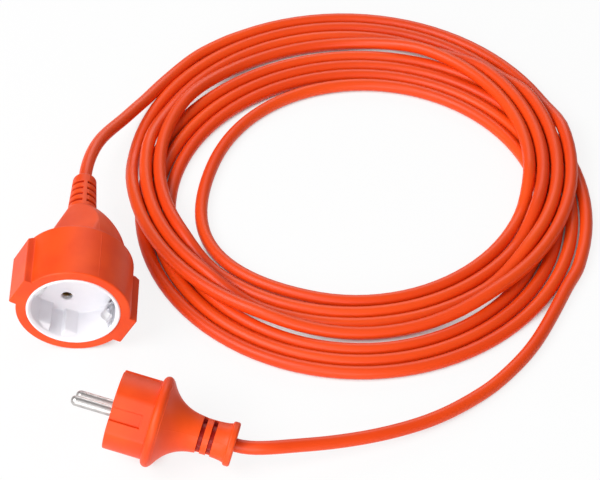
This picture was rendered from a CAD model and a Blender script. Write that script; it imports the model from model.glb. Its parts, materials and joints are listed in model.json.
# %% [markdown]
# # A coiled extension lead
# The object is a five metre extension lead: a moulded plug with two round pins, a round coupler
# with a white socket in its mouth, and a soft orange cord wound into flat turns. The rigid frame
# with its true sizes is already packed, so this script only gives it its looks. It goes in this
# order: the frame and the camera, the cord, the two mouldings, the white insert, the pins and
# the earth clips, what lies inside, and then the floor and the light.

import copy
import json
import math

import bmesh
import bpy
import numpy as np
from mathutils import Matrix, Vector


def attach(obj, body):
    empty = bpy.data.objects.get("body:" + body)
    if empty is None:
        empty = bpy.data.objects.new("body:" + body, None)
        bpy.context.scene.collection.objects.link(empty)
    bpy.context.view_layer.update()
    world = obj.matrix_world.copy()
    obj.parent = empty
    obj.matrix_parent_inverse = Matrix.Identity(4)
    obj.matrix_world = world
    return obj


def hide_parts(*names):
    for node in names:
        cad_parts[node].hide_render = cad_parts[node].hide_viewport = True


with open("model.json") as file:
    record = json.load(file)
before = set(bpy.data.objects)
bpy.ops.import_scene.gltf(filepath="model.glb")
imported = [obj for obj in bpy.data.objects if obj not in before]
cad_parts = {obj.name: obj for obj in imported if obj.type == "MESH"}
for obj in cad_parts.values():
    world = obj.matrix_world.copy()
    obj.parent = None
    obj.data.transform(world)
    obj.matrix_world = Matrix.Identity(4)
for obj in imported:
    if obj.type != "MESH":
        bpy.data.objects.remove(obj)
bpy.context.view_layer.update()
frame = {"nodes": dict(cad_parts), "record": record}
MM = 0.001
MAIN = "lead"
print("nodes in the frame:", len(frame["nodes"]))

# %% [markdown]
# ## The camera
# The lead lies on a table and is seen from the front and well above. A long lens keeps the far
# turns of the coil nearly as wide as the near ones, so the camera stands more than a metre away.
# It aims at a point on the table, and its tilt is the only angle that it needs.

# %% Camera
AIM = Vector((81.0, 68.6, 0.0)) * MM
CAMERA_PITCH = math.radians(47.0)
CAMERA_DISTANCE = 1150 * MM
CAMERA_LENS_MM = 138.0
CAMERA_SENSOR_MM = 36.0

camera_data = bpy.data.cameras.new("camera")
camera_data.lens = CAMERA_LENS_MM
camera_data.sensor_width = CAMERA_SENSOR_MM
camera_data.sensor_fit = "HORIZONTAL"
camera = bpy.data.objects.new("camera", camera_data)
looking = Vector((0, math.cos(CAMERA_PITCH), -math.sin(CAMERA_PITCH)))
camera.location = AIM - CAMERA_DISTANCE * looking
camera.rotation_euler = (math.pi / 2 - CAMERA_PITCH, 0, 0)
bpy.context.scene.collection.objects.link(camera)
bpy.context.scene.camera = camera
print("camera at", tuple(round(v, 3) for v in camera.location))

# %% [markdown]
# ## Where the cord runs
# Two short free stretches join the coil to the coupler and to the plug. Their points are chosen
# by hand: left or right, front to back, and how far the cord's underside is above the table.
# The coil itself follows a rule. It is wound in two layers: the upper one spirals in, the cord
# climbs down through half a turn, and the lower one spirals out again. The layers lean away
# from each other, so where an upper turn has nothing beneath it, it drops to the table.

# %% The cord's route in millimetres
CORD_D = 6.4
CORD_R = CORD_D / 2

coupler_route = [
    (-25.2, 96, 22.5), (-23.5, 108, 20), (-20.5, 119.5, 17), (-16, 130.5, 13.5),
    (-10.5, 141.5, 10), (-5, 152.5, 7), (0.5, 163.5, 4), (6, 174, 2), (12, 184, 0.5),
    (19, 193.5, 0), (27, 202, 0), (36, 209, 0)]
plug_route = [
    (213, 37, 0), (207.5, 25.5, 0), (202, 14, 0), (196, 2.5, 0), (189, -8.5, 0),
    (181, -18.5, 0), (172, -28, 0), (162, -36.5, 0.5), (151.5, -44, 1), (140, -50.5, 1.5),
    (128, -56, 2.5), (115.5, -60.5, 3.5), (103, -64, 4.5), (90, -67.4, 6.3),
    (77, -70.4, 8.4), (64, -72.9, 10.2)]

# %% The coil's rule
COIL_CENTRE = np.array([108.3, 101.7])
COIL_TURNS = 7.375
REVERSE_TURN = 3.83
START_ANGLE = 118.0
INNER_R = 88.7
INNER_DIP = 10.8
TURN_STEP = 7.2
LAYER_AIR = 0.6
LAYER_LEAN = 13.7
LEAN_ANGLE = 102.0
CLIMB_TURNS = 0.5
LEAN_TURNS = 0.28
LEAN_EARLY = 0.08
TURN_ROUND = 0.17
DIP_TURNS = 0.15
DROP_FROM = 0.52 * CORD_D
DROP_OVER = 1.26 * CORD_D
POINTS_PER_TURN = 96
LOOK_AHEAD = 0.002


def ease(x):
    """0 below 0, 1 above 1, and a smooth rise between."""
    x = np.clip(x, 0, 1)
    return x * x * (3 - 2 * x)


def cosine(degrees):
    return math.cos(math.radians(degrees))


def sine(degrees):
    return math.sin(math.radians(degrees))


def turn_angle(turn):
    return START_ANGLE - 360 * turn


def layer_share(turn):
    return ease((turn - REVERSE_TURN) / CLIMB_TURNS + 0.5)


def lean_share(turn):
    return ease((turn - REVERSE_TURN + LEAN_EARLY) / LEAN_TURNS + 0.5)


def turn_radius(turn):
    away = turn - REVERSE_TURN
    spiral = INNER_R + TURN_STEP * math.hypot(away, TURN_ROUND)
    return spiral - INNER_DIP * math.exp(-((away / DIP_TURNS) ** 2))


def held_up(turn):
    """1 where an upper turn lies on the lower layer, and 0 where it lies on the table."""
    apart = 2 * LAYER_LEAN * (1 - lean_share(turn))
    off_axis = LEAN_ANGLE - turn_angle(turn)
    along, across = turn_radius(turn) + apart * cosine(off_axis), apart * sine(off_axis)
    far = math.hypot(along, across)
    seen = turn - math.degrees(math.asin(across / far)) / 360
    outside = far - turn_radius(seen + math.floor(COIL_TURNS - seen))
    inside = turn_radius(seen + math.ceil(REVERSE_TURN + CLIMB_TURNS / 2 - seen)) - far
    return 1 - ease((max(outside, inside) - DROP_FROM) / DROP_OVER)


def coil_point(turn):
    angle = turn_angle(turn)
    lean = LAYER_LEAN * (1 - 2 * lean_share(turn))
    centre = COIL_CENTRE + lean * np.array([cosine(LEAN_ANGLE), sine(LEAN_ANGLE)])
    lift = (1 - layer_share(turn)) * held_up(turn) * (CORD_D + LAYER_AIR)
    return np.array([
        centre[0] + turn_radius(turn) * cosine(angle),
        centre[1] + turn_radius(turn) * sine(angle),
        CORD_R + lift])


def unit(vector):
    return vector / np.linalg.norm(vector)


def coil_way(turn):
    """The direction in which the coil runs at this turn."""
    return unit(coil_point(turn + LOOK_AHEAD) - coil_point(turn - LOOK_AHEAD))


coil_count = round(COIL_TURNS * POINTS_PER_TURN)
coil_line = np.array([coil_point(i / POINTS_PER_TURN) for i in range(coil_count + 1)])
print("coil points:", len(coil_line), "over", COIL_TURNS, "turns")

# %% [markdown]
# ## Where the coupler and the plug lie
# The record of the frame knows where the holes and the pins are. From the two holes, or the two
# pins, come each part's own axes: z runs from its face towards the cord, y runs from the first
# hole or pin to the second, and x runs through the earth contacts. Everything on a part can
# then be drawn straight and upright, and laid in place at the end.

# %% The parts' own axes
PIN_SPACING = 19.0
HOLE_DEPTH = 18.5
PIN_REACH = 8.3
mounts = {m["name"]: m for m in frame["record"]["mounts"]}


class Place:
    """A part's own frame, in millimetres: its origin and its three axes."""

    def __init__(self, first, second, origin_back):
        a, b = (np.array(mounts[n]["pos_m"]) / MM for n in (first, second))
        self.z = -unit(np.array(mounts[first]["axis"]))
        self.y = unit(b - a)
        self.x = unit(np.cross(self.y, self.z))
        self.origin = (a + b) / 2 + origin_back * self.z

    def put(self, points):
        """Points of the part, in metres, laid where the part lies."""
        p = np.asarray(points, float)
        spread = p[..., :1] * self.x + p[..., 1:2] * self.y + p[..., 2:3] * self.z
        return (self.origin + spread) * MM

    def beside(self, y):
        """The same axes, moved along y."""
        moved = copy.copy(self)
        moved.origin = self.origin + y * self.y
        return moved


coupler = Place("hole_a", "hole_b", -HOLE_DEPTH)
plug = Place("pin_a", "pin_b", PIN_REACH)
COUPLER_LEN = 87.0
PLUG_LEN = 57.6
coupler_exit = coupler.origin + COUPLER_LEN * coupler.z
plug_exit = plug.origin + PLUG_LEN * plug.z
print("cord leaves the coupler at", coupler_exit.round(1), "and the plug at", plug_exit.round(1))

# %% [markdown]
# ## One smooth line
# A tube along a line with corners would show them in its highlights. A cubic spline through the
# hand-chosen points bends evenly, and it leaves each end in the direction that the moulding or
# the coil gives it. Then all three stretches are joined into one line from end to end.

# %% Smooth the free stretches and join the line
def spline(points, first_way, last_way, step):
    """Points about a step apart on the smooth curve through the given points."""
    p = np.array(points, float)
    h = np.linalg.norm(np.diff(p, axis=0), axis=1)
    n = len(p)
    matrix, right = np.zeros((n, n)), np.zeros((n, 3))
    matrix[0, 0] = matrix[-1, -1] = 1
    right[0], right[-1] = first_way, last_way
    for i in range(1, n - 1):
        matrix[i, i - 1], matrix[i, i + 1] = 1 / h[i - 1], 1 / h[i]
        matrix[i, i] = 2 * (1 / h[i - 1] + 1 / h[i])
        right[i] = 3 * ((p[i] - p[i - 1]) / h[i - 1] ** 2 + (p[i + 1] - p[i]) / h[i] ** 2)
    way = np.linalg.solve(matrix, right)
    line = [p[0]]
    for i in range(n - 1):
        for t in np.linspace(0, 1, max(2, round(h[i] / step) + 1))[1:]:
            a, b = (1 + 2 * t) * (1 - t) ** 2, t * (1 - t) ** 2
            c, d = t * t * (3 - 2 * t), t * t * (t - 1)
            line.append(a * p[i] + b * h[i] * way[i] + c * p[i + 1] + d * h[i] * way[i + 1])
    return np.array(line)


def lifted(route):
    return [np.array([x, y, lift + CORD_R]) for x, y, lift in route]


LEAD_STEP = 3.0
end_turn = coil_count / POINTS_PER_TURN
coil_start = coil_line[0] - CORD_D * coil_way(0)
coil_finish = coil_line[-1] + CORD_D * coil_way(end_turn)
first_lead = spline(
    [coupler_exit, *lifted(coupler_route), coil_start], coupler.z, coil_way(0), LEAD_STEP)
last_lead = spline(
    [coil_finish, *lifted(plug_route), plug_exit], coil_way(end_turn), -plug.z, LEAD_STEP)
cord_line = np.concatenate([first_lead, coil_line, last_lead])
cord_line[:, 2] = np.maximum(cord_line[:, 2], CORD_R)
cord_length = np.linalg.norm(np.diff(cord_line, axis=0), axis=1).sum()
print("cord line:", len(cord_line), "points,", round(cord_length), "mm")

# %% [markdown]
# ## The cord
# The real cord is three cores under an extruded sheath, so every cut across it is the same
# circle. That makes it a sweep: Geometry Nodes pull a circle along the line. The tree also
# stores, on each point, where it is around the sheath and how far along, so that the finish can
# run lengthwise as the marks of extrusion do. The result becomes a plain mesh.

# %% Small helpers for node trees and meshes
def link_object(name, mesh):
    made = bpy.data.objects.new(name, mesh)
    bpy.context.scene.collection.objects.link(made)
    return made


def mesh_from(name, points, faces, edges=()):
    mesh = bpy.data.meshes.new(name)
    mesh.from_pydata([tuple(p) for p in points], list(edges), list(faces))
    mesh.update()
    return mesh


def new_tree(name, inputs):
    """A Geometry Nodes tree with a geometry in and out and the named inputs."""
    tree = bpy.data.node_groups.new(name, "GeometryNodeTree")
    tree.interface.new_socket("Geometry", in_out="INPUT", socket_type="NodeSocketGeometry")
    for label, kind in inputs.items():
        tree.interface.new_socket(label, in_out="INPUT", socket_type=kind)
    tree.interface.new_socket("Geometry", in_out="OUTPUT", socket_type="NodeSocketGeometry")
    return tree


def add_node(tree, kind, settings=None, **sockets):
    """One node: its settings first, then the values or links of its sockets."""
    made = tree.nodes.new(kind)
    for name, value in (settings or {}).items():
        setattr(made, name, value)
    for name, value in sockets.items():
        socket = made.inputs[name.replace("_", " ")]
        if isinstance(value, bpy.types.NodeSocket):
            tree.links.new(value, socket)
        else:
            socket.default_value = value
    return made


def run_tree(obj, tree, values):
    """Runs the tree on the object with these inputs and returns the result as a plain mesh."""
    modifier = obj.modifiers.new(tree.name, "NODES")
    modifier.node_group = tree
    identifiers = {s.name: s.identifier for s in tree.interface.items_tree if s.in_out == "INPUT"}
    for label, value in values.items():
        modifier[identifiers[label]] = value
    graph = bpy.context.evaluated_depsgraph_get()
    result = bpy.data.meshes.new_from_object(obj.evaluated_get(graph), depsgraph=graph)
    obj.modifiers.remove(modifier)
    return result


# %% The tree that sweeps the sheath
def sheath_tree():
    tree = new_tree("sheath_sweep", {
        "Radius": "NodeSocketFloat", "Sides": "NodeSocketInt", "Material": "NodeSocketMaterial"})
    given = add_node(tree, "NodeGroupInput").outputs
    line = add_node(tree, "GeometryNodeMeshToCurve", Mesh=given["Geometry"])
    along = add_node(tree, "GeometryNodeSplineParameter")
    marked = tree.nodes.new("GeometryNodeCaptureAttribute")
    marked.capture_items.new("FLOAT", "along")
    tree.links.new(line.outputs["Curve"], marked.inputs["Geometry"])
    tree.links.new(along.outputs["Length"], marked.inputs["along"])
    ring = add_node(
        tree, "GeometryNodeCurvePrimitiveCircle", Resolution=given["Sides"],
        Radius=given["Radius"])
    ring_mark = tree.nodes.new("GeometryNodeCaptureAttribute")
    ring_mark.capture_items.new("VECTOR", "around")
    tree.links.new(ring.outputs["Curve"], ring_mark.inputs["Geometry"])
    tree.links.new(
        add_node(tree, "GeometryNodeInputPosition").outputs[0], ring_mark.inputs["around"])
    tube = add_node(
        tree, "GeometryNodeCurveToMesh", Curve=marked.outputs["Geometry"],
        Profile_Curve=ring_mark.outputs["Geometry"], Fill_Caps=True)
    lengthwise = add_node(
        tree, "ShaderNodeCombineXYZ", X=0.0, Y=0.0, Z=marked.outputs["along"])
    place = add_node(tree, "ShaderNodeVectorMath", {"operation": "ADD"})
    tree.links.new(ring_mark.outputs["around"], place.inputs[0])
    tree.links.new(lengthwise.outputs[0], place.inputs[1])
    stored = add_node(
        tree, "GeometryNodeStoreNamedAttribute", {"data_type": "FLOAT_VECTOR", "domain": "POINT"},
        Geometry=tube.outputs["Mesh"], Name="sheath_place", Value=place.outputs[0])
    real = add_node(tree, "GeometryNodeRealizeInstances", Geometry=stored.outputs["Geometry"])
    dressed = add_node(
        tree, "GeometryNodeSetMaterial", Geometry=real.outputs["Geometry"],
        Material=given["Material"])
    add_node(tree, "NodeGroupOutput", Geometry=dressed.outputs["Geometry"])
    return tree


# %% [markdown]
# ## Writing finishes as arithmetic
# A finish is a small calculation from a place on the surface to a colour, a roughness and a
# bump. Wiring it by hand hides the sum, so a small class wraps a socket and lets the sum be
# written out: each plus, minus or times adds the Math node that does it.

# %% Sockets with arithmetic
class Value:
    """One number that varies over a surface."""

    def __init__(self, finish, socket):
        self.finish, self.socket = finish, socket

    def math(self, operation, *values):
        return self.finish.node(
            "ShaderNodeMath", {"operation": operation}, dict(enumerate(values)))

    def __add__(self, other):
        return self.math("ADD", self, other)

    __radd__ = __add__

    def __sub__(self, other):
        return self.math("SUBTRACT", self, other)

    def __rsub__(self, other):
        return self.math("SUBTRACT", other, self)

    def __mul__(self, other):
        return self.math("MULTIPLY", self, other)

    __rmul__ = __mul__

    def over(self, low, high):
        """0 below low, 1 above high and a smooth rise between."""
        return self.finish.node(
            "ShaderNodeMapRange", {"interpolation_type": "SMOOTHSTEP"},
            {"Value": self, "From Min": low, "From Max": high})


class Finish:
    """A material that is written from a place on the surface to a shader."""

    def __init__(self, name):
        self.material = bpy.data.materials.new(name)
        self.material.use_nodes = True
        self.tree = self.material.node_tree
        self.tree.nodes.clear()

    def node(self, kind, settings=None, sockets=None, out=0):
        """Any node: its type, its settings first, then the values or links of its sockets."""
        made = self.tree.nodes.new(kind)
        for name, value in (settings or {}).items():
            setattr(made, name, value)
        for name, value in (sockets or {}).items():
            if isinstance(value, Value):
                self.tree.links.new(value.socket, made.inputs[name])
            else:
                made.inputs[name].default_value = value
        return Value(self, made.outputs[out]) if len(made.outputs) else None

    def place(self):
        """Where a point is on its object."""
        return self.node("ShaderNodeTexCoord", out="Object")

    def stored(self, name, out="Vector"):
        """What the mesh stores on its points: a vector, or one number with out="Fac"."""
        return self.node("ShaderNodeAttribute", {"attribute_name": name}, out=out)

    def stretched(self, place, scale):
        return self.node("ShaderNodeMapping", None, {"Vector": place, "Scale": scale})

    def noise(self, place, scale, detail=2.0, roughness=0.5):
        return self.node("ShaderNodeTexNoise", None, {
            "Vector": place, "Scale": scale, "Detail": detail, "Roughness": roughness})

    def mixed(self, share, first, second):
        """A colour between two, by a share that varies."""
        def colour(c):
            return c if isinstance(c, Value) else (*c, 1)
        return self.node("ShaderNodeMix", {"data_type": "RGBA"}, {
            0: share, 6: colour(first), 7: colour(second)}, out=2)

    def bump(self, height, distance, strength=1.0, under=None):
        sockets = {"Height": height, "Distance": distance, "Strength": strength}
        if under is not None:
            sockets["Normal"] = under
        return self.node("ShaderNodeBump", None, sockets)

    def done(self, **sockets):
        """Closes the finish with a surface shader and returns the material."""
        named = {name.replace("_", " "): value for name, value in sockets.items()}
        for name, value in named.items():
            if isinstance(value, tuple):
                named[name] = (*value, 1)
        shader = self.node("ShaderNodeBsdfPrincipled", None, named)
        self.node("ShaderNodeOutputMaterial", None, {"Surface": shader})
        return self.material


# %% [markdown]
# ## The orange of the sheath and of the mouldings
# Both are soft PVC of one colour. The sheath comes hot out of a die and is drawn along, so it
# is smooth and slightly glossy, with faint lengthwise lines and slow changes in gloss where it
# was handled. The mouldings copy the fine-blasted steel of their tool, so they are duller, with
# an even grain. Neither is one flat tone: the pigment drifts a little, handling dulls it, and
# grime gathers in the mouldings' narrow grooves and turns them darker.

# %% Orange finishes
ORANGE = (0.90, 0.080, 0.005)
ORANGE_DEEP = (0.80, 0.056, 0.003)
ORANGE_GRIMY = (0.46, 0.007, 0.0)


def sheath_finish():
    finish = Finish("sheath_orange")
    place = finish.stored("sheath_place")
    lines = finish.noise(finish.stretched(place, (1400, 1400, 14)), 1.0, 3.0)
    drift = finish.noise(finish.stretched(place, (60, 60, 9)), 1.0, 2.0)
    handled = finish.noise(finish.stretched(place, (120, 120, 55)), 1.0, 4.0, 0.6)
    bump = finish.bump(lines * 0.6 + handled * 0.8, 0.00006)
    return finish.done(
        Base_Color=finish.mixed(drift.over(0.3, 0.7), ORANGE, ORANGE_DEEP),
        Roughness=0.33 + 0.10 * handled + 0.05 * lines,
        Normal=bump, Specular_IOR_Level=0.35)


def moulding_finish():
    """The mouldings' orange. Their meshes store how deep a point is sunk in a groove, 0 to 1."""
    finish = Finish("moulding_orange")
    place = finish.place()
    sunk = finish.stored("sunk", "Fac")
    grain = finish.noise(place, 2600, 2.0)
    drift = finish.noise(place, 45, 3.0)
    handled = finish.noise(place, 160, 4.0, 0.6)
    bump = finish.bump(grain, 0.00005, 0.6, finish.bump(drift, 0.0002, 0.25))
    tone = finish.mixed(drift.over(0.3, 0.7), ORANGE, ORANGE_DEEP)
    return finish.done(
        Base_Color=finish.mixed(sunk, tone, ORANGE_GRIMY),
        Roughness=0.42 + 0.10 * handled, Normal=bump, Specular_IOR_Level=0.35)


sheath_orange = sheath_finish()
moulding_orange = moulding_finish()
print("finishes so far:", len(bpy.data.materials))

# %% Sweep the cord
SHEATH_SIDES = 28
line_mesh = mesh_from(
    "cord_line", cord_line * MM, [], [(i, i + 1) for i in range(len(cord_line) - 1)])
line_object = link_object("cord_line", line_mesh)
cord_mesh = run_tree(
    line_object, sheath_tree(),
    {"Radius": CORD_R * MM, "Sides": SHEATH_SIDES, "Material": sheath_orange})
bpy.data.objects.remove(line_object)
cord_mesh.shade_smooth()
cord = link_object("cord", cord_mesh)
print("cord faces:", len(cord_mesh.polygons))

# %% [markdown]
# ## A round moulding with flats, grips and grooves
# The coupler and the plug are turned shapes with something cut away or added on some of their
# sides. Boolean cuts would give hard, crooked edges. Here the surface is a grid of rows along
# the axis and columns around it, and a rule gives each point's distance from the axis. Where
# two shapes meet, a soft minimum or maximum rounds the edge, as a mould's tool rounds it. The
# rule also knows how deep a groove is at each point, and the mesh stores that for the finish.

# %% Rules for round shapes
def soft_min(a, b, round_by):
    """The lesser of two distances, with the corner between them rounded."""
    blend = np.clip(1 - np.abs(a - b) / round_by, 0, 1)
    return np.minimum(a, b) - blend * blend * round_by / 4


def soft_max(a, b, round_by):
    return -soft_min(-a, -b, round_by)


def up_to(x, high, soft):
    """1 below high and 0 above it, with a soft end."""
    return 1 - ease((x - high) / soft + 0.5)


def within(x, low, high, soft):
    """1 between low and high, 0 outside, with soft ends."""
    return ease((x - low) / soft + 0.5) * up_to(x, high, soft)


def webs_at(middles, angles, width, radius, soft):
    """1 on the webs that bridge a groove at these angles, 0 between them."""
    webs = np.zeros_like(angles)
    for middle in middles:
        away = (angles - middle + 180) % 360 - 180
        webs = np.maximum(webs, within(np.radians(away) * radius, -width / 2, width / 2, soft))
    return webs


def spaced(first, *stops):
    """Rows from the first place on: each stop is a place and the step used up to it."""
    rows = [first]
    for place, step in stops:
        count = max(1, round((place - rows[-1]) / step))
        rows.extend(np.linspace(rows[-1], place, count + 1)[1:])
    return np.array(rows)


def columns(count, edges, spread, extra):
    """Angles around the axis, with more of them on both sides of each edge."""
    angles = set(np.linspace(0, 360, count, endpoint=False).round(3))
    for edge in edges:
        angles |= set((np.linspace(edge - spread, edge + spread, extra) % 360).round(3))
    return np.array(sorted(angles))


def bezier(start, bend, end, count=40):
    t = np.linspace(0, 1, count)[:, None]
    start, bend, end = (np.array(p, float) for p in (start, bend, end))
    return (1 - t) ** 2 * start + 2 * t * (1 - t) * bend + t * t * end


SHARP_ABOVE = math.radians(38)


def turned(name, place, rings, angles):
    """A closed body from rings: z and radius over the angles, and maybe how far they are sunk."""
    turn = np.radians(angles)
    points, faces, depths = [], [], []
    count = len(angles)
    for z, radius, *sunk in rings:
        depths.append(np.broadcast_to(sunk[0] if sunk else 0.0, (count,)))
        radius = np.broadcast_to(radius, (count,))
        height = np.broadcast_to(z, (count,))
        points.append(np.stack([radius * np.cos(turn), radius * np.sin(turn), height], axis=1))
    grid = np.concatenate(points)
    for row in range(len(rings) - 1):
        a, b = row * count, (row + 1) * count
        faces += [(a + i, a + (i + 1) % count, b + (i + 1) % count, b + i) for i in range(count)]
    first, last = len(grid), len(grid) + 1
    ends = [[0, 0, np.mean(rings[0][0])], [0, 0, np.mean(rings[-1][0])]]
    top = (len(rings) - 1) * count
    faces += [(first, (i + 1) % count, i) for i in range(count)]
    faces += [(last, top + i, top + (i + 1) % count) for i in range(count)]
    mesh = mesh_from(name, place.put(np.concatenate([grid, ends])), faces)
    stored = mesh.attributes.new("sunk", "FLOAT", "POINT")
    stored.data.foreach_set("value", np.concatenate([*depths, [0.0, 0.0]]))
    mesh.shade_smooth()
    mesh.set_sharp_from_angle(angle=SHARP_ABOVE)
    return link_object(name, mesh)


def dressed(piece, node, slot, body, finish):
    """The piece gets its finish, stands for the node and rides on its body."""
    piece.data.materials.clear()
    piece.data.materials.append(finish)
    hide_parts(node)
    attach(piece, body)
    print(piece.name, "faces:", len(piece.data.polygons))
    return piece


# %% The coupler's outline, in millimetres from its mouth
BODY_R = 27.1
BODY_LEN = 31.0
EDGE_ROUND = 0.8
BACK_ROUND = 1.6
BACK_STEP = 0.16
GRIP_FACE = 29.3
GRIP_HALF = 8.5
GRIP_LEN = 28.0
GRIP_EDGE = 0.5
GRIP_DROP = 1.6
GRIP_SLOPE = 1.4
GRIP_STEP = 0.2
GRIP_CORNER = 0.9
GRIP_ROOT = 0.6
GRIP_ANGLE = 17.6
SHOULDER_R = 24.0
SHOULDER_END = 64.0
FLAT_ANGLES = (0, 45, 180, 225)
FLAT_SLOPE = math.radians(21)
FLAT_LIFT = 0.3
FLAT_ROUND = 0.7
# A flat counts where the cosine of the angle from its middle is above this, and cuts nothing
# elsewhere.
FACING = 0.2
NO_CUT = 99
RELIEF_R = 7.2
RELIEF_END_R = 5.9
RELIEF_ROUND = 2.2
GROOVE_ROWS, GROOVE_FIRST, GROOVE_STEP = 4, 2.4, 4.3
GROOVE_W, GROOVE_DEPTH, GROOVE_SOFT = 1.4, 1.2, 0.35
GROOVE_WEB, GROOVE_WEB_SOFT, GROOVE_WEB_ANGLES = 2.4, 0.4, (-107, 73, -17, 163)
SEAM_HIGH, SEAM_SOFT, SEAM_FROM = 0.07, 0.35, 1.0
MOUTH_EDGE = 0.3
LIP_IN = 0.25
INSERT_R = 22.3
INSERT_BACK = 20.0
CARRIER_R = 17.9
CARRIER_BACK = 34.2
SHEATH_START = 54.0

shoulder_line = bezier(
    (BODY_LEN, SHOULDER_R), (BODY_LEN + 17.16, SHOULDER_R - 1), (SHOULDER_END, RELIEF_R))


def quarter(depth, round_by):
    """How far a rounded edge falls back at this depth past its start."""
    d = np.clip(depth, 0, round_by)
    return round_by - np.sqrt(round_by**2 - d * d)


def coupler_profile(z):
    body = BODY_R - quarter(EDGE_ROUND - z, EDGE_ROUND)
    body = body - quarter(z - (BODY_LEN - BACK_ROUND), BACK_ROUND)
    shoulder = np.interp(z, shoulder_line[:, 0], shoulder_line[:, 1])
    taper = (z - SHOULDER_END) / (COUPLER_LEN - RELIEF_ROUND - SHOULDER_END)
    relief = RELIEF_R + np.clip(taper, 0, 1) * (RELIEF_END_R - RELIEF_R)
    relief = relief - quarter(z - (COUPLER_LEN - RELIEF_ROUND), RELIEF_ROUND)
    behind = ease((z - BODY_LEN) / BACK_STEP)
    front = body * (1 - behind) + shoulder * behind
    return np.where(z < SHOULDER_END, front, relief)


def with_flats(radius, z, angles):
    """Four flats on the shoulder, which slope out from the relief to the body."""
    near = (z > BODY_LEN) & (z < SHOULDER_END)
    flat = RELIEF_R + FLAT_LIFT + (SHOULDER_END - z) * math.tan(FLAT_SLOPE)
    for middle in FLAT_ANGLES:
        lean = np.cos(np.radians(angles - middle))
        cut = np.where(lean > FACING, flat / np.maximum(lean, FACING), NO_CUT)
        radius = np.where(near, soft_min(radius, cut, FLAT_ROUND), radius)
    return radius


def with_grips(radius, z, angles):
    """Two blocks with flat faces, rounded where they meet the round body."""
    face = GRIP_FACE - quarter(GRIP_EDGE - z, GRIP_EDGE)
    face = face - GRIP_DROP * ease((z - GRIP_LEN + GRIP_SLOPE) / GRIP_SLOPE)
    ends = 1 - ease((z - GRIP_LEN) / GRIP_STEP)
    for middle in (0, 180):
        turn = np.radians(angles - middle)
        ahead = np.cos(turn)
        side = GRIP_HALF / np.maximum(np.abs(np.sin(turn)), 1e-3)
        block = soft_min(face / np.maximum(ahead, FACING), side, GRIP_CORNER)
        block = np.where(ahead > FACING, block, 0)
        raised = soft_max(radius, block, GRIP_ROOT)
        radius = radius + (raised - radius) * ends
    return radius


def with_relief_grooves(radius, z, angles):
    """Rows of grooves that let the relief bend, each bridged by four webs."""
    webs = webs_at(GROOVE_WEB_ANGLES, angles, GROOVE_WEB, RELIEF_R, GROOVE_WEB_SOFT)
    for row in range(GROOVE_ROWS):
        start = SHOULDER_END + GROOVE_FIRST + row * GROOVE_STEP
        depth = GROOVE_DEPTH * within(z, start, start + GROOVE_W, GROOVE_SOFT)
        radius = radius - depth * (1 - webs)
    return radius


def with_seam(radius, angles, high, soft):
    """The faint line where the two halves of the mould met, at 90 and 270 degrees."""
    aside = np.abs(radius * np.cos(np.radians(angles)))
    return radius + high * (1 - ease(aside / soft))


def coupler_ring(z, angles):
    """A ring of the coupler: its place, its radius and how far each point of it is sunk."""
    radius = np.full(angles.shape, coupler_profile(z))
    plain = with_grips(with_flats(radius, z, angles), z, angles)
    radius = with_relief_grooves(plain, z, angles)
    sunk = np.clip((plain - radius) / GROOVE_DEPTH, 0, 1)
    if z > SEAM_FROM:
        radius = with_seam(radius, angles, SEAM_HIGH, SEAM_SOFT)
    return z, radius, sunk


# %% The coupler's body
EVEN_COLUMNS = 240
SEAM_ANGLES = [90, 270]
BORE_R = CORD_R + 0.05

grip_edges = [middle + edge for middle in (0, 180) for edge in (-GRIP_ANGLE, GRIP_ANGLE)]
body_angles = columns(EVEN_COLUMNS, grip_edges + SEAM_ANGLES, 2.2, 23)
body_rows = spaced(
    0, (1.2, 0.15), (26.2, 1.25), (29.4, 0.15), (30.9, 0.15), (31.3, 0.04), (64, 0.75),
    (84.8, 0.16), (87, 0.2))
inner = [(CARRIER_BACK, CARRIER_R * 0.5), (CARRIER_BACK, CARRIER_R), (INSERT_BACK, CARRIER_R),
         (INSERT_BACK, INSERT_R), (MOUTH_EDGE, INSERT_R), (0, INSERT_R + MOUTH_EDGE)]
outer = [coupler_ring(z, body_angles) for z in body_rows]
lip = [(0, outer[0][1] - LIP_IN)]
bore = [(COUPLER_LEN, BORE_R), (SHEATH_START, BORE_R)]
dressed(
    turned("coupler_moulding", coupler, inner + lip + outer + bore, body_angles),
    "coupler_body", "moulding", MAIN, moulding_orange)

# %% The plug's outline, in millimetres from its face
PLUG_R = 18.45
PLUG_EDGE = 0.6
PLUG_FRONT = 18.3
FRONT_SOFT = 0.2
FLANGE_R = 21.3
FLANGE_ROUND = 2.5
FLANGE_MID = 20.8
FLANGE_HALF = 2.2
NECK_R = 8.4
COLLAR_R = 10.4
COLLAR_LEN = 3.4
COLLAR_ROUND = 1.1
FLAT_FACE = 16.105
FLAT_EDGE = 0.5
GUIDE_HALF = 3.2
GUIDE_SOFT = 0.25
GUIDE_DEPTH = 1.6
GUIDE_END = 14.3
CHANNEL_HALF = 3.6
CHANNEL_SOFT = 0.4
CHANNEL_FLOOR = 16.2
CHANNEL_END = 16.6
END_SOFT = 0.3
# A groove or channel belongs to a side where the sine or cosine towards it is above this.
TURNED_TO = 0.5
WALL_ANGLE = 11.6
SLOT_ROWS, SLOT_FIRST, SLOT_STEP = 2, 41.8, 4.9
SLOT_W, SLOT_DEPTH, SLOT_SOFT = 1.8, 2.8, 0.3
SLOT_WEB, SLOT_WEB_SOFT, SLOT_WEB_ANGLES = 2.6, 0.5, (20, 160)
SLOT_SUNK = 1.5
PLUG_SEAM_HIGH, PLUG_SEAM_SOFT = 0.06, 0.3
PLUG_HOLD = 21

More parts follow.
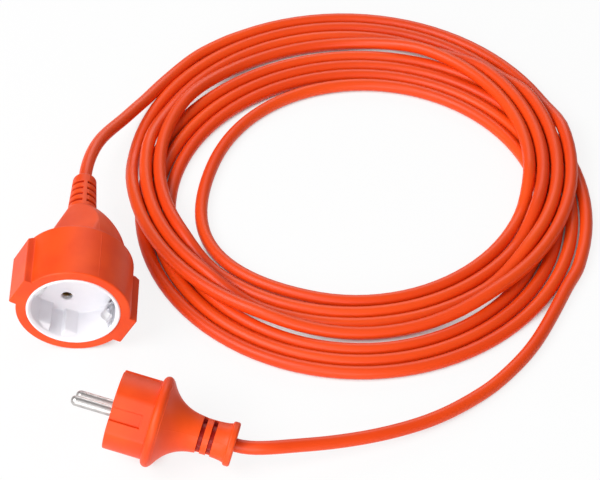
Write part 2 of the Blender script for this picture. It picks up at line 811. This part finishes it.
trumpet = np.concatenate([
    bezier((23.3, 20.0), (FLANGE_MID + 7.5, NECK_R + 2), (FLANGE_MID + 18, NECK_R + 0.5)),
    bezier((42.8, NECK_R), (48.8, NECK_R - 0.2), (52.8, NECK_R + 0.5), 12),
    [[54.2, COLLAR_R - COLLAR_ROUND]]])


def plug_profile(z):
    front = PLUG_R - quarter(PLUG_EDGE - z, PLUG_EDGE)
    rim = FLANGE_R - FLANGE_ROUND + np.sqrt(
        np.maximum(FLANGE_ROUND**2 - (z - FLANGE_MID) ** 2, 0))
    tail = np.interp(z, trumpet[:, 0], trumpet[:, 1])
    collar = COLLAR_R - quarter(PLUG_LEN - COLLAR_LEN + COLLAR_ROUND - z, COLLAR_ROUND)
    collar = collar - quarter(z - (PLUG_LEN - COLLAR_ROUND), COLLAR_ROUND)
    behind_rim = np.where(z < PLUG_LEN - COLLAR_LEN, tail, collar)
    return np.where(
        z < PLUG_FRONT, front, np.where(z < FLANGE_MID + FLANGE_HALF, rim, behind_rim))


def with_guides(radius, z, angles):
    """Two flats with a guide groove each, and two channels for the earth strips."""
    turn = np.radians(angles)
    up, aside = np.abs(np.sin(turn)), np.abs(np.cos(turn))
    flat = FLAT_FACE / np.maximum(up, FACING)
    floor = (FLAT_FACE - GUIDE_DEPTH) / np.maximum(up, FACING)
    channel = CHANNEL_FLOOR / np.maximum(aside, FACING)
    cut = soft_min(radius, flat, FLAT_EDGE)
    groove = up_to(flat * aside, GUIDE_HALF, GUIDE_SOFT) * (up > TURNED_TO)
    groove = groove * up_to(z, GUIDE_END, END_SOFT)
    cut = cut + (floor - cut) * groove
    strip = up_to(radius * up, CHANNEL_HALF, CHANNEL_SOFT) * (aside > TURNED_TO)
    strip = strip * up_to(z, CHANNEL_END, END_SOFT)
    cut = cut + (np.minimum(channel, cut) - cut) * strip
    return radius + (cut - radius) * up_to(z, PLUG_FRONT, FRONT_SOFT)


def with_neck_slots(radius, z, angles):
    """Two rows of deep slots that let the neck bend, each bridged by two webs."""
    webs = webs_at(SLOT_WEB_ANGLES, angles, SLOT_WEB, NECK_R, SLOT_WEB_SOFT)
    floor = NECK_R - SLOT_DEPTH
    for row in range(SLOT_ROWS):
        low = SLOT_FIRST + row * SLOT_STEP - SLOT_W / 2
        open_here = within(z, low, low + SLOT_W, SLOT_SOFT) * (1 - webs)
        radius = radius + (floor - radius) * open_here
    return radius


def plug_ring(z, angles):
    """A ring of the plug: its place, its radius and how far each point of it is sunk."""
    plain = with_guides(np.full(angles.shape, plug_profile(z)), z, angles)
    radius = with_neck_slots(plain, z, angles)
    sunk = np.clip((plain - radius) / SLOT_SUNK, 0, 1)
    if z > PLUG_FRONT:
        radius = with_seam(radius, angles, PLUG_SEAM_HIGH, PLUG_SEAM_SOFT)
    return z, radius, sunk


# %% The plug's body
wall_edges = [90 * k + edge for k in range(4) for edge in (-WALL_ANGLE, WALL_ANGLE)]
plug_angles = columns(EVEN_COLUMNS, wall_edges + SEAM_ANGLES, 2.4, 21)
plug_rows = spaced(
    0, (0.9, 0.1), (14.0, 1.2), (14.6, 0.06), (16.3, 0.4), (16.9, 0.06), (18.1, 0.4),
    (18.4, 0.05), (23.2, 0.16), (40.6, 0.6), (41.2, 0.06), (42.4, 0.4), (43.0, 0.06),
    (45.5, 0.5), (46.1, 0.06), (47.3, 0.4), (47.9, 0.06), (54.0, 0.6), (54.4, 0.04),
    (57.6, 0.1))
shell = [plug_ring(z, plug_angles) for z in plug_rows]
face = [(0, share * shell[0][1]) for share in (0.3, 0.6, 0.9, 0.99)]
plug_bore = [(PLUG_LEN, BORE_R), (PLUG_LEN - PLUG_HOLD, BORE_R)]
plug_body = dressed(
    turned("plug_moulding", plug, face + shell + plug_bore, plug_angles),
    "plug_body", "moulding", MAIN, moulding_orange)

# %% [markdown]
# ## The white insert
# The insert is one shot of stiff white plastic: a cup with a floor, two holes, two pairs of
# guide ribs and a pocket for each earth clip. The frame has its exact shape, but with edges
# sharper than any mould makes. Rather than round some hundred edges one by one, a copy of the
# shape is rebuilt from small cells, which rounds edges and inside corners alike, and a smoothing
# pass then takes the cells' steps away.

# %% Finish of the white plastic
def hard_plastic(name, colour, shade, roughness, grain=1800, depth=0.00003):
    """Stiff moulded plastic: a slow drift of tone, a fine grain and a few handling marks."""
    finish = Finish(name)
    place = finish.place()
    drift = finish.noise(place, 70, 2.0)
    marks = finish.noise(finish.stretched(place, (300, 300, 90)), 1.0, 4.0, 0.6)
    bump = finish.bump(finish.noise(place, grain, 2.0), depth, 0.5)
    return finish.done(
        Base_Color=finish.mixed(drift.over(0.35, 0.65), colour, shade),
        Roughness=roughness + 0.12 * marks, Normal=bump)


insert_white = hard_plastic(
    "insert_white", (0.87, 0.87, 0.90), (0.83, 0.83, 0.87), 0.30, 900, 0.00004)

# %% The insert with moulded edges
INSERT_CELL = 0.33
MERGE_WITHIN = 0.001


def merged_copy(node, name):
    """A node's mesh as a new object, with its loose triangles joined into one closed skin."""
    skin = bmesh.new()
    skin.from_mesh(frame["nodes"][node].data)
    bmesh.ops.remove_doubles(skin, verts=skin.verts, dist=MERGE_WITHIN * MM)
    mesh = bpy.data.meshes.new(name)
    skin.to_mesh(mesh)
    skin.free()
    return link_object(name, mesh)


def applied(obj):
    """The object with its modifiers made part of its mesh."""
    graph = bpy.context.evaluated_depsgraph_get()
    result = bpy.data.meshes.new_from_object(obj.evaluated_get(graph), depsgraph=graph)
    obj.modifiers.clear()
    obj.data = result
    return obj


insert = merged_copy("coupler_insert", "insert_moulded")
cells = insert.modifiers.new("cells", "REMESH")
cells.mode = "VOXEL"
cells.voxel_size = INSERT_CELL * MM
cells.use_smooth_shade = True
soften = insert.modifiers.new("soften", "SMOOTH")
soften.factor, soften.iterations = 0.5, 5
dressed(applied(insert), "coupler_insert", "insert", MAIN, insert_white)

# %% [markdown]
# ## Metal that is turned, pressed and plated
# A pin is turned from brass rod and plated, so fine rings run round it and it is bright. The
# earth clips are pressed from strip and plated too, with the rolling marks along them and
# softer gloss. Both finishes are the same sum with other numbers: a grain that is stretched one
# way, a little in the bump and more in the roughness, because the eye finds it in the highlight.

# %% Metal finishes
def plated(name, colour, roughness, across, along, depth, ring_axis=None):
    """Metal with a fine grain, either along the object's own axes or in rings round an axis."""
    finish = Finish(name)
    place = finish.place()
    if ring_axis is None:
        grain = finish.noise(finish.stretched(place, (across, along, across)), 1.0, 3.0)
    else:
        reach = finish.node(
            "ShaderNodeVectorMath", {"operation": "DOT_PRODUCT"},
            {0: place, 1: tuple(ring_axis)}, out="Value")
        grain = finish.noise(reach * across, 1.0, 3.0)
    wear = finish.noise(place, 220, 1.0, 0.5)
    dull = tuple(0.82 * c for c in colour)
    return finish.done(
        Base_Color=finish.mixed(wear.over(0.45, 0.75), colour, dull), Metallic=1.0,
        Roughness=roughness + 0.10 * grain + 0.16 * wear.over(0.5, 0.8),
        Normal=finish.bump(grain, depth, 0.5))


pin_metal = plated("pin_nickel", (0.60, 0.575, 0.565), 0.36, 400, 0, 0.0000004, plug.z)
clip_metal = plated("clip_nickel", (0.86, 0.86, 0.88), 0.46, 2600, 160, 0.000004)
contact_brass = plated("contact_brass", (0.78, 0.56, 0.26), 0.24, 2400, 200, 0.00001)

# %% The pins
PIN_R = 2.4
PIN_LEN = 19.0
PIN_SEAT = 0.2
PIN_SHANK = [
    (PIN_SEAT, 2.25), (PIN_SEAT, 2.2), (5.6, 2.2), (5.6, 3.0), (5.7, 3.1), (8.0, 3.1),
    (8.1, 3.0), (8.1, 2.2), (15, 2.2), (15, 1.8), (19.9, 1.8), (20, 1.7)]
pin_angles = np.arange(0, 360, 5.0)


def pin_rings():
    """Tip, full width, shank with its collar, and the barrel that grips the core."""
    tip = [(-PIN_LEN + PIN_R * (1 - math.cos(t)), PIN_R * math.sin(t))
           for t in np.linspace(0.05, math.pi / 2, 14)]
    shaft = [(z, PIN_R) for z in np.linspace(-PIN_LEN + PIN_R + 0.2, PIN_SEAT - 0.1, 12)]
    return tip + shaft + PIN_SHANK


for letter, side in (("a", -1), ("b", 1)):
    pin = turned(
        "pin_turned_" + letter, plug.beside(side * PIN_SPACING / 2), pin_rings(), pin_angles)
    dressed(pin, "plug_pin_" + letter, "pin_metal", MAIN, pin_metal)

# %% [markdown]
# ## The earth clips
# Each clip is a strip that springs into the recess and is pushed out by a plug. It is rolled
# into an eye at its root, bows inwards, and flares out again at its lip so that the plug slides
# under it. A line gives the middle of the strip, and each point of it becomes four corners. A
# bevel breaks the edges, as tumbling does to pressed parts. The clips ride on bodies of their
# own, because they move.

# %% The clips as bent strips
CLIP_T = 0.7
CLIP_HALF = 2.7
CLIP_ROOT = (20.7, 15.6)
CLIP_NECK = (19.5, 13.2)
CLIP_LIP = (18.35, 4.5)
CLIP_TIP = (18.95, 2.9)
CLIP_BULGE = (15.55, 7.48)
CLIP_EYE_R = 0.35
BROKEN_EDGE = 0.14


def clip_line():
    """The middle of the strip: the eye at its root, the bow and the lip's tip."""
    eye = [(CLIP_ROOT[0] + CLIP_EYE_R * cosine(a), CLIP_ROOT[1] + CLIP_EYE_R * sine(a))
           for a in np.linspace(-30, 225, 16)]
    pull = [2 * CLIP_BULGE[k] - (CLIP_NECK[k] + CLIP_LIP[k]) / 2 for k in (0, 1)]
    bow = bezier(CLIP_NECK, pull, CLIP_LIP, 26)
    return np.concatenate([eye, bow, [CLIP_TIP]])


def strip_piece(name, place, side, line, half_width, thickness):
    """A flat strip that follows a line in the plane of x and z."""
    way = np.gradient(line, axis=0)
    way /= np.linalg.norm(way, axis=1)[:, None]
    normal = np.stack([-way[:, 1], way[:, 0]], axis=1) * thickness / 2
    points = []
    for middle, out in zip(line, normal):
        for shift, across in ((out, half_width), (-out, half_width),
                              (-out, -half_width), (out, -half_width)):
            x, z = middle + shift
            points.append((side * x, side * across, z))
    faces = [(3, 2, 1, 0), tuple(4 * (len(line) - 1) + k for k in range(4))]
    for row in range(len(line) - 1):
        a = 4 * row
        faces += [(a + k, a + (k + 1) % 4, a + 4 + (k + 1) % 4, a + 4 + k) for k in range(4)]
    made = link_object(name, mesh_from(name, place.put(points), faces))
    made.data.shade_smooth()
    bevel = made.modifiers.new("broken_edges", "BEVEL")
    bevel.width, bevel.segments = BROKEN_EDGE * MM, 2
    bevel.limit_method, bevel.angle_limit = "ANGLE", math.radians(50)
    return applied(made)


for letter, side in (("a", 1), ("b", -1)):
    clip = strip_piece(
        "clip_sprung_" + letter, coupler, side, clip_line(), CLIP_HALF, CLIP_T)
    dressed(
        clip, "coupler_earth_clip_" + letter, "earth_metal", "earth_clip_" + letter, clip_metal)

# %% [markdown]
# ## What lies inside
# Nobody sees the carrier, the contacts and the three cores until the mouldings are hidden, but
# they are part of the object and get finishes of their own. Their shapes in the frame are
# already right, so only their material changes. The earth core is green with a yellow stripe
# along it, which is a step in the distance across the core.

# %% Finishes for the inner nodes
STRIPE_ASIDE = 1.1


def core_finish(name, colour, stripe=None, place_of=None):
    """Core insulation, with lengthwise lines from its die and maybe a second colour."""
    finish = Finish(name)
    place = finish.place()
    lines = finish.noise(place, 900, 3.0)
    shade = tuple(0.8 * c for c in colour)
    tone = finish.mixed(lines.over(0.3, 0.7), colour, shade)
    if stripe is not None:
        across = finish.node(
            "ShaderNodeVectorMath", {"operation": "DOT_PRODUCT"},
            {0: place, 1: tuple(place_of.x)}, out="Value")
        middle = float(np.dot(place_of.origin, place_of.x)) * MM
        beside = across - (middle - STRIPE_ASIDE * MM)
        tone = finish.mixed(beside.over(0, 0.0001), tone, stripe)
    return finish.done(
        Base_Color=tone, Roughness=0.38 + 0.1 * lines, Normal=finish.bump(lines, 0.00003))


YELLOW = (0.80, 0.62, 0.03)
GREEN = (0.05, 0.32, 0.04)
inner_finishes = {
    "coupler_carrier": hard_plastic("carrier_grey", (0.58, 0.58, 0.60), (0.52, 0.52, 0.54), 0.45),
    "coupler_contact_a": contact_brass,
    "coupler_contact_b": contact_brass,
    "coupler_earth_strap": clip_metal,
    "plug_earth_strap": clip_metal,
    "plug_bridge": hard_plastic("bridge_black", (0.03, 0.03, 0.033), (0.02, 0.02, 0.022), 0.4),
    "coupler_core_earth": core_finish("core_earth_coupler", GREEN, YELLOW, coupler),
    "plug_core_earth": core_finish("core_earth_plug", GREEN, YELLOW, plug)}
brown = core_finish("core_brown", (0.12, 0.045, 0.02))
blue = core_finish("core_blue", (0.02, 0.09, 0.42))
held_sheath = hard_plastic("sheath_held", ORANGE, ORANGE_DEEP, 0.34, 900)
for part in ("coupler", "plug"):
    inner_finishes[part + "_core_brown"] = brown
    inner_finishes[part + "_core_blue"] = blue
    inner_finishes[part + "_sheath_end"] = held_sheath
inner_finishes.update({
    "coupler_body": moulding_orange, "plug_body": moulding_orange,
    "coupler_insert": insert_white, "coupler_earth_clip_a": clip_metal,
    "coupler_earth_clip_b": clip_metal, "plug_pin_a": pin_metal, "plug_pin_b": pin_metal,
    "cord_coupler_lead": held_sheath, "cord_coil": held_sheath, "cord_plug_lead": held_sheath})
for name, node in frame["nodes"].items():
    for slot in node.material_slots:
        slot.material = inner_finishes[name]
print("finished nodes:", len(inner_finishes), "of", len(frame["nodes"]))

# %% [markdown]
# ## Floor and light
# The floor and the light stand in for a small studio. The camera sees the floor near white,
# yet the floor still takes the lead's shadow: part of what it shows is plain light of its own,
# and only the rest depends on the lamps. Between two strands that share would shine through the
# gap, where a real table is dark. So it fades out wherever the sky above the floor is closed.

# %% Floor
SHOWN_WHITE = 0.87
NARROW_GAP = 10 * MM
FLOOR_REACH = 6.0
FLOOR_DROP = 0.2 * MM


def floor_finish():
    """White that shows itself to the camera and to gloss, and still takes shadows."""
    finish = Finish("floor_white")
    paths = [finish.node("ShaderNodeLightPath", out=name)
             for name in ("Is Camera Ray", "Is Glossy Ray", "Is Transmission Ray")]
    seen = (paths[0] + paths[1] + paths[2]).over(0.0, 1.0)
    sky = finish.node(
        "ShaderNodeAmbientOcclusion", {"samples": 8}, {"Distance": NARROW_GAP}, out="AO")
    share = seen * SHOWN_WHITE * sky.over(0.08, 0.45)
    matt = finish.node("ShaderNodeBsdfDiffuse", None, {"Color": (0.9, 0.9, 0.9, 1)})
    glow = finish.node("ShaderNodeEmission", None, {"Color": (1, 1, 1, 1), "Strength": 1.0})
    both = finish.node("ShaderNodeMixShader", None, {0: share, 1: matt, 2: glow})
    finish.node("ShaderNodeOutputMaterial", None, {"Surface": both})
    return finish.material


corners = [(x * FLOOR_REACH, y * FLOOR_REACH, 0) for x, y in ((-1, -1), (1, -1), (1, 1), (-1, 1))]
floor = link_object("floor", mesh_from("floor", corners, [(0, 1, 2, 3)]))
floor.location.z = -FLOOR_DROP
floor.data.materials.append(floor_finish())

# %% Lamps and world
WORLD_LIGHT = 0.22


def lamp(name, place, aim, size, power):
    """A round soft lamp that points at its aim: metres across, and watts."""
    data = bpy.data.lights.new(name, "AREA")
    data.shape = "DISK"
    data.size = size
    data.energy = power
    made = bpy.data.objects.new(name, data)
    bpy.context.scene.collection.objects.link(made)
    made.location = place
    made.rotation_euler = (Vector(aim) - Vector(place)).to_track_quat("-Z", "Y").to_euler()
    return made


lamp("key", (-0.9, -0.5, 1.3), (0.08, 0.07, 0), 1.2, 25)
lamp("front", (-0.2, -1.3, 0.45), (-0.02, 0.0, 0.02), 0.9, 9.5)
lamp("rear", (0.2, 1.6, 0.9), (0.08, 0.07, 0), 1.1, 9)
world = bpy.data.worlds.new("studio")
world.use_nodes = True
background = world.node_tree.nodes["Background"]
background.inputs["Color"].default_value = (1, 1, 1, 1)
background.inputs["Strength"].default_value = WORLD_LIGHT
bpy.context.scene.world = world
bpy.context.scene.view_settings.view_transform = "Standard"

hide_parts("cord_coupler_lead", "cord_coil", "cord_plug_lead")
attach(cord, MAIN)
plug_pieces = [plug_body] + [
    frame["nodes"][n] for n in frame["nodes"] if n.startswith("plug_") and n != "plug_body"]
tuple(coupler_exit * MM)
